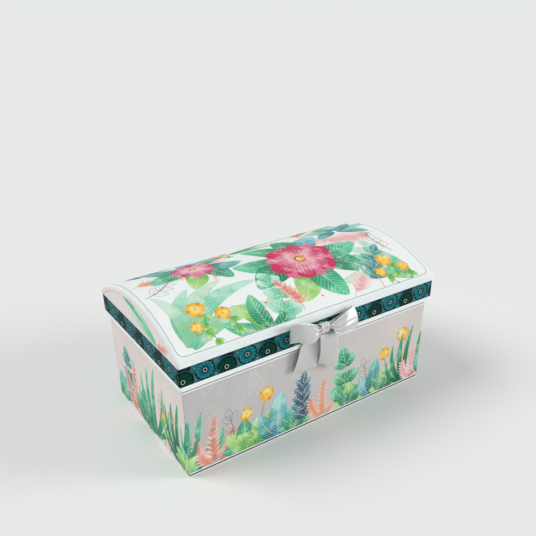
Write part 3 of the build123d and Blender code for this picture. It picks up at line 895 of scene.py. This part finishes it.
def addTallSprig(bed, u, v, size, ink):
    addSprig(bed, u, v, 96, 44 * size, 5, 15 * size, 4.6 * size, ink, bend=3, veins=2.6)


def addRoundSprig(bed, u, v, size, ink):
    addSprig(bed, u, v, 84, 46 * size, 3, 18 * size, 7.6 * size, ink, bend=-4, veins=4.0, spread=56, roundness=0.55)


def addDrawnSprig(bed, u, v, size, ink):
    addSprig(bed, u, v, 88, 36 * size, 4, 14 * size, 4.2 * size, ink, bend=-3, outline=0.17, stalk="line")


# along the wall 0 is the middle of the back, then come the left end, the front, the right end and the back again
wall = {"turn": 799.08, "foot": 2.2, "ghosts": 64,
        "kinds": {"tuft": addTuft, "feathers": addFeathers, "rosette": addRosette, "wide": addWideLeaves,
                  "daisies": addDaisies, "sprig": addTallSprig, "round": addRoundSprig, "outline": addDrawnSprig},
        # where each side starts, and its plants: place, kind, size and inks
        "sides": (
            (273.1, (  # the front
                (7, "tuft", 0.95, "emerald"), (24, "feathers", 1.0, "salmon"), (38, "outline", 1.1, "line"),
                (53, "rosette", 1.05, "lime", "forest"), (64, "daisies", 1.1), (86, "wide", 1.05, "turquoise", "teal"),
                (103, "rosette", 0.75, "forest", "emerald"), (117, "sprig", 1.05, "navy"),
                (135, "feathers", 0.85, "peach"), (153, "round", 1.1, "emerald"),
                (165, "rosette", 0.85, "forest", "lime"), (181, "outline", 1.0, "line"),
                (194, "wide", 0.9, "teal", "turquoise"), (208, "rosette", 0.8, "forest", "lime"),
                (217, "daisies", 1.2), (234, "tuft", 1.0, "forest"), (245, "feathers", 0.8, "rosewash"))),
            (128.0, (  # the left end
                (10, "rosette", 0.9, "emerald", "teal"), (26, "round", 1.1, "teal"), (45, "feathers", 1.15, "salmon"),
                (62, "wide", 0.9, "emerald", "forest"), (82, "tuft", 1.2, "emerald"), (99, "outline", 1.15, "line"),
                (110, "daisies", 0.9), (126, "tuft", 1.05, "forest"), (137, "rosette", 0.75, "lime", "emerald"))),
            (527.5, (  # the right end
                (12, "wide", 0.95, "turquoise", "teal"), (34, "feathers", 1.1, "peach"),
                (54, "rosette", 1.05, "emerald", "lime"), (72, "round", 1.1, "mint"), (90, "daisies", 1.1),
                (108, "tuft", 1.1, "sage"), (128, "rosette", 0.9, "forest", "emerald"))),
            (672.7, (  # the back's left half
                (12, "feathers", 0.95, "salmon"), (34, "tuft", 1.05, "mint"), (54, "rosette", 1.0, "lime", "emerald"),
                (74, "sprig", 1.05, "navy"), (92, "wide", 0.95, "turquoise", "teal"), (114, "daisies", 1.05))),
            (0, (  # the back's right half
                (8, "feathers", 1.0, "peach"), (28, "rosette", 1.0, "emerald", "forest"), (46, "tuft", 1.1, "sage"),
                (64, "outline", 1.1, "line"), (80, "round", 1.05, "teal"), (98, "rosette", 0.95, "lime", "emerald"),
                (116, "sprig", 1.0, "teal"))))}


def wallGarden():
    bed = []
    turn = wall["turn"]
    # faint leaves over the ground
    draw = random.Random(5)
    for _ in range(wall["ghosts"]):
        u, v = draw.uniform(0, turn), draw.uniform(40, 98)
        for side in (-1, 0, 1):
            addLeaf(bed, u, v, 90 + 38 * side + draw.uniform(-25, 25), draw.uniform(16, 30), draw.uniform(3, 6),
                    "ghost", outline=0.22, strength=0.24, roundness=0.7)
    for start, plants in wall["sides"]:
        for place, kind, size, *names in plants:
            wall["kinds"][kind](bed, start + place, wall["foot"], size, *names)
    # what lies near the seam is printed on both sides of it
    bed += [(motif[0] + turn, *motif[1:]) for motif in bed if motif[0] < 80] + [
        (motif[0] - turn, *motif[1:]) for motif in bed if motif[0] > turn - 80]
    return bed


def archGarden(flip):
    bed = []
    for angle, length, half, ink, bend in ((15, 64, 3.6, "emerald", 4), (9, 56, 3.2, "sage", 1.5),
                                           (23, 42, 3.0, "mint", 2)):
        addLeaf(bed, 40 * flip, 2.5, 90 + (90 - angle) * flip, length, half, ink, bend=-bend * flip, veins=-3.0,
                power=0.8, roundness=0.6)
    addSprig(bed, 38 * flip, 3, 90 - 76 * flip, 22, 4, 7, 1.8, "salmon", bend=-2 * flip, stalk="salmon")
    return bed


inkPaper(domePaper, domeFlat, domeGarden())
inkPaper(basePaper, baseFlat, wallGarden())
inkPaper(leftArch, leftArchFlat, archGarden(1))
inkPaper(rightArch, rightArchFlat, archGarden(-1))
print("prints laid out")


# finishes
papers = {"roughness": 0.52, "gloss": 0.15, "fibre": 0.9, "bump": 0.10, "bumpDepth": 0.00008,
          "mottle": 0.10, "mottleColour": (0.78, 0.78, 0.76), "wear": 0.7}


def finishPaper(shader, spot, colour, gloss=papers["gloss"]):
    # coated paper: faint mottle in the colour, a broken sheen and a fine fibre
    mottle = addNoise(spot, 0.05, 4.0, 0.6)
    fibre = addNoise(spot, papers["fibre"], 3.0, 0.7)
    share = addStep(mottle, 0.35, 0.75) * papers["mottle"]
    plug(shader, {"Base Color": addMix(share, colour, papers["mottleColour"], "MULTIPLY"),
                  "Roughness": fibre * 0.16 + (papers["roughness"] - 0.08), "Specular IOR Level": gloss,
                  "Normal": addBump(fibre + mottle * 1.6, papers["bump"], papers["bumpDepth"])})


def addWear(spot, colour, distance, width, pale):
    # rubbed edges: distance is how far a point is from the fold, in millimetres
    scuff = addStep(addNoise(spot, 0.35, 3.0, 0.7), 0.40, 0.72)
    return addMix(addFade(distance, 0.0, width) * scuff * papers["wear"], colour, pale)


def frameDistance(u, v, halfU, halfV, radius):
    # distance from a rounded frame on the flat paper, less than 0 inside
    qu, qv = abs(u) - (halfU - radius), abs(v) - (halfV - radius)
    outer = addMath("SQRT", larger(qu, 0.0) ** 2.0 + larger(qv, 0.0) ** 2.0)
    return outer + smaller(larger(qu, qv), 0.0) - radius


domeLook = {"ground": shade(246, 249, 247), "edge": shade(240, 247, 246), "frameU": 126.6, "frameV": 76.4,
            "frameRound": 5.5, "line": shade(96, 140, 140), "lineHalf": 0.28, "lineShare": 0.8,
            "fold": 7.4, "worn": shade(226, 224, 216), "end": shade(236, 228, 223), "endStart": 131.2,
            "mitre": 50.1, "gloss": 0.05}


def domeFinish():
    finish, shader, spot, u, v = newPrint("domeFinish")
    away = frameDistance(u, v, domeLook["frameU"], domeLook["frameV"], domeLook["frameRound"])
    # the print inside the frame, the white edge outside it and the pinkish end faces
    far, start = abs(u), domeLook["endStart"]
    onEnd = addStep(far, start - 0.2, start + 0.2) * (far - abs(v) > domeLook["mitre"])
    rim = addMix(onEnd, domeLook["edge"], domeLook["end"])
    colour = addMix(addFade(away, -0.35, -0.15), rim, addInk(spot, domeLook["ground"]))
    line = addFade(abs(away), domeLook["lineHalf"] - 0.1, domeLook["lineHalf"] + 0.1)
    colour = addMix(line * domeLook["lineShare"], colour, domeLook["line"])
    colour = addWear(spot, colour, abs(away - domeLook["fold"]), 0.5, domeLook["worn"])
    finishPaper(shader, spot, colour, domeLook["gloss"])
    return finish


# front, frontShade and frontShadeFall: painted shade on the front wall, a greyer ground that fades from its left
# towards its right
wallLook = {"ground": shade(226, 218, 213), "blush": shade(236, 223, 216), "front": shade(186, 187, 187),
            "white": shade(246, 248, 244), "line": shade(8, 26, 22), "frontStart": 271.9, "frontEnd": 527.2,
            "frontShade": 0.86, "frontShadeFall": 0.5, "rim": 107.7, "corners": (127.2, 272.4, 526.7, 671.9),
            "footWorn": shade(206, 200, 192), "cornerWorn": shade(236, 232, 226),
            # height, half its width, strength and colour of each line across the front
            "frontLines": ((1.9, 2.5, 1.0, "white"), (2.5, 0.72, 0.95, "line"),
                           # the dark line at 84.3 is painted shadow, just under the lid's rim
                           (83.2, 0.6, 0.9, "white"), (84.3, 0.5, 0.45, "line"))}


def wallFinish():
    finish, shader, spot, u, v = newPrint("wallFinish")
    cloud = addStep(addNoise(objectSpot(spot.tree), 0.02, 2.0, 0.5), 0.35, 0.65)
    ground = addMix(cloud, wallLook["ground"], wallLook["blush"])
    # painted shade: the front gets a greyer ground, most of all at its left, for the less light that falls on it
    start, end = wallLook["frontStart"], wallLook["frontEnd"]
    onFront = (u > start) * (u < end)
    frontShade = wallLook["frontShade"] - addStep(u, start, end) * wallLook["frontShadeFall"]
    colour = addInk(spot, addMix(onFront * frontShade, ground, wallLook["front"]))
    # the lines across the front; the dark one just under the lid's rim is painted shadow
    for middle, half, strength, tone in wallLook["frontLines"]:
        line = (abs(v - middle) < half) * onFront
        colour = addMix(line * strength, colour, wallLook[tone])
    colour = addMix(v > wallLook["rim"], colour, wallLook["white"])
    colour = addWear(spot, colour, abs(v), 1.6, wallLook["footWorn"])
    corner = abs(u - wallLook["corners"][0])
    for place in wallLook["corners"][1:]:
        corner = smaller(corner, abs(u - place))
    colour = addWear(spot, colour, corner, 1.3, wallLook["cornerWorn"])
    finishPaper(shader, spot, colour)
    return finish


band = {"low": 91.7, "high": 108.0, "ground": shade(0, 18, 32), "disc": shade(0, 62, 46), "petal": shade(6, 92, 100),
        "petalPale": shade(34, 132, 138), "line": shade(0, 10, 22), "ring": shade(186, 206, 196),
        "spark": shade(96, 170, 172), "white": shade(243, 248, 247), "fold": 87.6, "worn": shade(224, 222, 214),
        "gloss": 0.06, "turn": 822.28, "repeats": 22,
        # each rose: share of the pitch, height, radius, petals and its two colours
        "roses": ((0.86, 94.4, 5.2, 11, "petalPale", "petal"), (0.36, 104.8, 4.6, 9, "petalPale", "petal"),
                  (0.60, 96.0, 8.0, 10, "disc", "disc"), (0.10, 100.2, 7.6, 13, "petal", "petalPale"),
                  (0.34, 93.6, 2.6, 7, "petalPale", "petal"), (0.87, 104.6, 3.0, 7, "petal", "petalPale")),
        # radii of a rose's parts, as shares of its own
        "halo": 1.16, "core": 0.38, "ringShare": 0.21}


def addRose(colour, u, v, share, height, radius, petals, fill, pale):
    # one rose in every pitch: scalloped petals with dark rays round a pale ring
    pitch = band["turn"] / band["repeats"]
    du = (addMath("FRACT", (u - pitch * (share + 0.5)) / pitch) - 0.5) * pitch
    dv = v - height
    reach = addMath("SQRT", du * du + dv * dv)
    angle = addMath("ARCTAN2", dv, du)
    lobe = abs(addMath("SINE", angle * (petals / 2)))
    vein = abs(addMath("COSINE", angle * (petals / 2)))
    edge = (addMath("SQRT", lobe) * 0.16 + 0.84) * radius
    halo = addFade(abs(reach - radius * band["halo"]), 0.06, 0.26)
    colour = addMix(reach < radius * band["halo"], colour, band["line"])
    colour = addMix(halo * 0.5, colour, band["spark"])
    petal = addMix(addStep(reach / radius, 0.25, 0.95), band[fill], band[pale])
    petal = addMix(addFade(lobe, 0.10, 0.42) * 0.85, petal, band["line"])
    petal = addMix(addFade(vein, 0.02, 0.22) * 0.45, petal, band["line"])
    colour = addMix(addFade(reach - edge, -0.12, 0.12), colour, petal)
    colour = addMix(reach < radius * band["core"], colour, band["line"])
    ring = addFade(abs(reach - radius * band["ringShare"]), 0.16, 0.40)
    return addMix(ring * (0.5 if radius < 6 else 0.9), colour, band["ring"])


def skirtFinish():
    finish, shader, spot, u, v = newPrint("skirtFinish")
    swirl = addMath("FRACT", addNoise(spot, 0.22, 2.0, 0.6) * 7.0)
    curl = addFade(abs(swirl - 0.5), 0.06, 0.16)
    colour = addMix(curl * 0.5, band["ground"], band["petal"])
    for rose in band["roses"]:
        colour = addRose(colour, u, v, *rose)
    colour = addMix((v > band["low"]) * (v < band["high"]), band["white"], colour)
    colour = addWear(spot, colour, abs(v - band["fold"]), 1.0, band["worn"])
    finishPaper(shader, spot, colour, band["gloss"])
    return finish


def archFinish():
    finish, shader, spot, _, _ = newPrint("archFinish")
    finishPaper(shader, spot, addInk(spot, domeLook["end"]))
    return finish


def objectSpot(tree):
    # the box's own millimetres, for papers and boards without a flat map
    place = addNode(tree, "TexCoord", {}, "Object")
    return addNode(tree, "VectorMath", {0: place, "Scale": 1000}, operation="SCALE")


def plainFinish(name, ground, fleck, roughness, coarse, bumpStrength):
    finish, tree, shader = newFinish(name)
    spot = objectSpot(tree)
    cloud = addStep(addNoise(spot, 0.06, 3.0, 0.6), 0.35, 0.7)
    fibre = addNoise(spot, coarse, 4.0, 0.7)
    colour = addMix(cloud * 0.35, ground, fleck)
    plug(shader, {"Base Color": addMix(addStep(fibre, 0.52, 0.72) * 0.45, colour, fleck),
                  "Roughness": fibre * 0.2 + (roughness - 0.1), "Normal": addBump(fibre, bumpStrength, 0.0001)})
    return finish


satin = {"ground": shade(200, 201, 197), "shade": shade(188, 189, 186), "edge": shade(232, 232, 229),
         "edgeStart": 9.0, "roughness": 0.34, "bump": 0.12,
         "shine": {"IOR": 1.8, "Specular IOR Level": 0.9, "Anisotropic": 0.5, "Sheen Weight": 0.35,
                   "Sheen Roughness": 0.4}}


def satinFinish():
    # fine warp along the ribbon, a soft sheen, and a paler woven edge on both sides that is partly painted highlight
    # along the ribbon's edges
    finish, shader, spot, u, v = newPrint("satinFinish")
    warp = addNoise(addNode(spot.tree, "CombineXYZ", {0: u * 2.2, 1: v * 0.12}), 1.6, 4.0, 0.7)
    thread = addMath("SINE", u * 22.0)
    colour = addMix(addStep(warp, 0.35, 0.7), satin["ground"], satin["shade"])
    # the woven edge, painted brighter than the ribbon as a highlight along both long edges
    selvageAndHighlight = addStep(abs(u), satin["edgeStart"], satin["edgeStart"] + 0.4)
    plug(shader, {"Base Color": addMix(selvageAndHighlight * 0.6, colour, satin["edge"]),
                  "Roughness": warp * 0.16 + (satin["roughness"] - 0.06),
                  "Normal": addBump(thread * 0.2 + warp, satin["bump"], 0.0001), **satin["shine"]})
    return finish


glueLook = {"clear": shade(236, 232, 214), "cloudy": shade(214, 206, 182), "transmission": 0.35}


def glueFinish():
    finish, tree, shader = newFinish("glueFinish")
    cloud = addNoise(objectSpot(tree), 0.6, 3.0, 0.6)
    plug(shader, {"Base Color": addMix(cloud, glueLook["clear"], glueLook["cloudy"]),
                  "Roughness": cloud * 0.2 + 0.12, "Transmission Weight": glueLook["transmission"],
                  "Normal": addBump(cloud, 0.4, 0.0002)})
    return finish


def dress(finish, *pieces):
    for piece in pieces:
        piece.data.materials.clear()
        piece.data.materials.append(finish)


# ground, fleck, roughness, how coarse the fibre is and the strength of its relief
lining = plainFinish("liningFinish", shade(240, 236, 229), shade(224, 218, 208), 0.62, 0.8, 0.2)
board = plainFinish("boardFinish", shade(164, 158, 146), shade(118, 112, 102), 0.85, 0.6, 0.5)
wool = plainFinish("waddingFinish", shade(240, 240, 238), shade(214, 214, 212), 0.95, 0.5, 0.8)
underside = plainFinish("undersideFinish", shade(236, 235, 231), shade(214, 212, 206), 0.6, 0.7, 0.2)
dress(domeFinish(), domePaper)
dress(wallFinish(), basePaper)
dress(skirtFinish(), skirtPaper)
dress(archFinish(), leftArch, rightArch)
dress(wool, domeWadding)
dress(lining, hingeStrip)
dress(satinFinish(), *bowParts)
nodeLooks = {"board": board, "lining": lining, "card": lining, "bottom_sheet": underside, "glue": glueFinish()}
for name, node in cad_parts.items():
    for word, look in nodeLooks.items():
        if word in name and not node.hide_render:
            dress(look, node)
print("finishes given")
